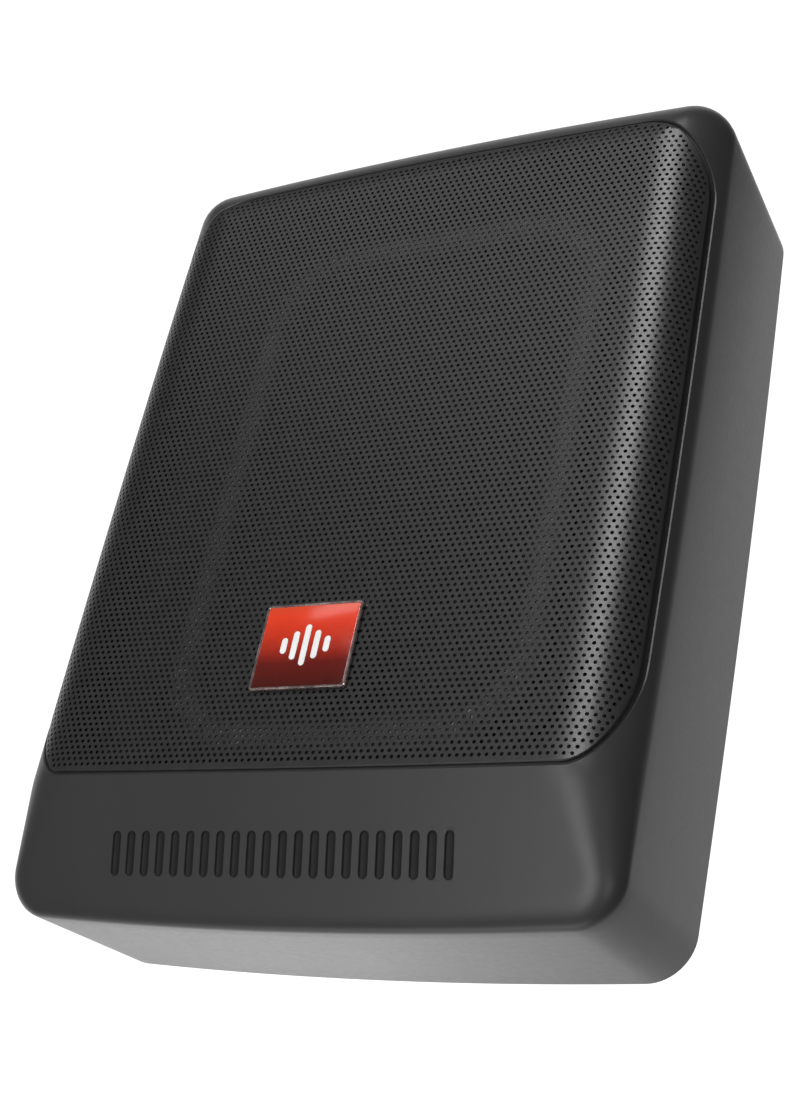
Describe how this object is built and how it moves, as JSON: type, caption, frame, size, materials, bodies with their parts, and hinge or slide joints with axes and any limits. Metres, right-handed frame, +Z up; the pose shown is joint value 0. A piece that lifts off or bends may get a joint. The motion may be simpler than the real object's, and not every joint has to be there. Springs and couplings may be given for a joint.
{
  "type": "powered car subwoofer",
  "caption": "Flat under-seat powered subwoofer: crowned cast shell, perforated grille over a racetrack woofer, amplifier inside and a rear control panel.",
  "frame": {"origin": "on the floor under the middle of the shell, level with the underside of the rubber feet", "axes": "+X across the shell, +Y along it towards the rear control panel, +Z up through the grille"},
  "size_m": [0.2, 0.27, 0.0717],
  "materials": {
    "cast_shell": "matte",
    "black_steel": "satin",
    "sheet_steel": "satin",
    "rubber": "matte",
    "foam": "matte",
    "zinc": "satin",
    "dark_screw": "satin",
    "brass": "satin",
    "badge_red": "gloss",
    "badge_metal": "satin",
    "badge_white": "gloss",
    "black_plastic": "matte",
    "cone_paper": "matte",
    "surround_rubber": "satin",
    "coil_film": "satin",
    "copper": "satin",
    "spider_cloth": "matte",
    "ferrite": "matte",
    "bare_steel": "satin",
    "board_green": "satin",
    "phenolic": "matte",
    "wire_skin": "satin",
    "aluminium": "satin",
    "epoxy": "matte",
    "core_yellow": "satin",
    "can_sleeve": "satin",
    "pot_blue": "satin",
    "knob_black": "matte",
    "lever_white": "satin",
    "socket_nylon": "satin",
    "insulator": "satin",
    "fuse_blue": "gloss",
    "lens_red": "gloss"
  },
  "bodies": {
    "housing": {"shell": "cast_shell", "base_plate": "sheet_steel", "base_seal": "foam", "base_screws": "dark_screw", "rubber_feet": "rubber", "bracket_nuts": "brass", "grille": "black_steel", "grille_frame": "black_plastic", "badge_pad": "foam", "badge_plate": "badge_red", "badge_bezel": "badge_metal", "badge_bars": "badge_white", "basket": "sheet_steel", "basket_gasket": "foam", "basket_screws": "dark_screw", "surround": "surround_rubber", "spider": "spider_cloth", "top_plate": "bare_steel", "magnet": "ferrite", "pole_yoke": "bare_steel", "terminal_strip": "phenolic", "terminal_tabs": "zinc", "tinsel_leads": "copper", "speaker_wires": "wire_skin", "amp_board": "board_green", "riser_board": "board_green", "heat_sink": "aluminium", "transistors": "epoxy", "clamp_bar": "zinc", "toroid_core": "core_yellow", "toroid_winding": "copper", "capacitors": "can_sleeve", "board_standoffs": "brass", "board_screws": "zinc", "control_panel": "black_plastic", "panel_brackets": "zinc", "panel_screws": "dark_screw", "pot_bodies": "pot_blue", "switch_bodies": "zinc", "phono_jacks": "brass", "phono_contacts": "insulator", "power_socket": "socket_nylon", "line_socket": "socket_nylon", "socket_pins": "brass", "fuse_holder": "black_plastic", "fuse": "fuse_blue", "status_lens": "lens_red"},
    "cone": {"cone": "cone_paper", "dust_cap": "cone_paper", "coil_former": "coil_film", "coil_winding": "copper"},
    "gain_control": {"gain_knob": "knob_black", "gain_shaft": "bare_steel"},
    "crossover_control": {"crossover_knob": "knob_black", "crossover_shaft": "bare_steel"},
    "boost_control": {"boost_knob": "knob_black", "boost_shaft": "bare_steel"},
    "phase_switch": {"phase_lever": "lever_white"},
    "level_switch": {"level_lever": "lever_white"},
    "auto_on_switch": {"auto_on_lever": "lever_white"}
  },
  "joints": [
    {"name": "cone_stroke", "type": "slide", "parent": "housing", "child": "cone", "axis": [0, 0, 1], "range_m": [-0.004, 0.004], "stiffness_N_per_m": 2500, "deforming": ["surround", "spider", "tinsel_leads"]},
    {"name": "gain_turn", "type": "hinge", "parent": "housing", "child": "gain_control", "pos_m": [-0.035, 0.126, 0.021], "axis": [0, 1, 0], "range_deg": [-140, 140]},
    {"name": "crossover_turn", "type": "hinge", "parent": "housing", "child": "crossover_control", "pos_m": [-0.048, 0.126, 0.021], "axis": [0, 1, 0], "range_deg": [-140, 140]},
    {"name": "boost_turn", "type": "hinge", "parent": "housing", "child": "boost_control", "pos_m": [-0.061, 0.126, 0.021], "axis": [0, 1, 0], "range_deg": [-140, 140]},
    {"name": "phase_slide", "type": "slide", "parent": "housing", "child": "phase_switch", "axis": [1, 0, 0], "range_m": [-0.002, 0]},
    {"name": "level_slide", "type": "slide", "parent": "housing", "child": "level_switch", "axis": [1, 0, 0], "range_m": [-0.002, 0]},
    {"name": "auto_on_slide", "type": "slide", "parent": "housing", "child": "auto_on_switch", "axis": [1, 0, 0], "range_m": [-0.002, 0.002]}
  ]
}
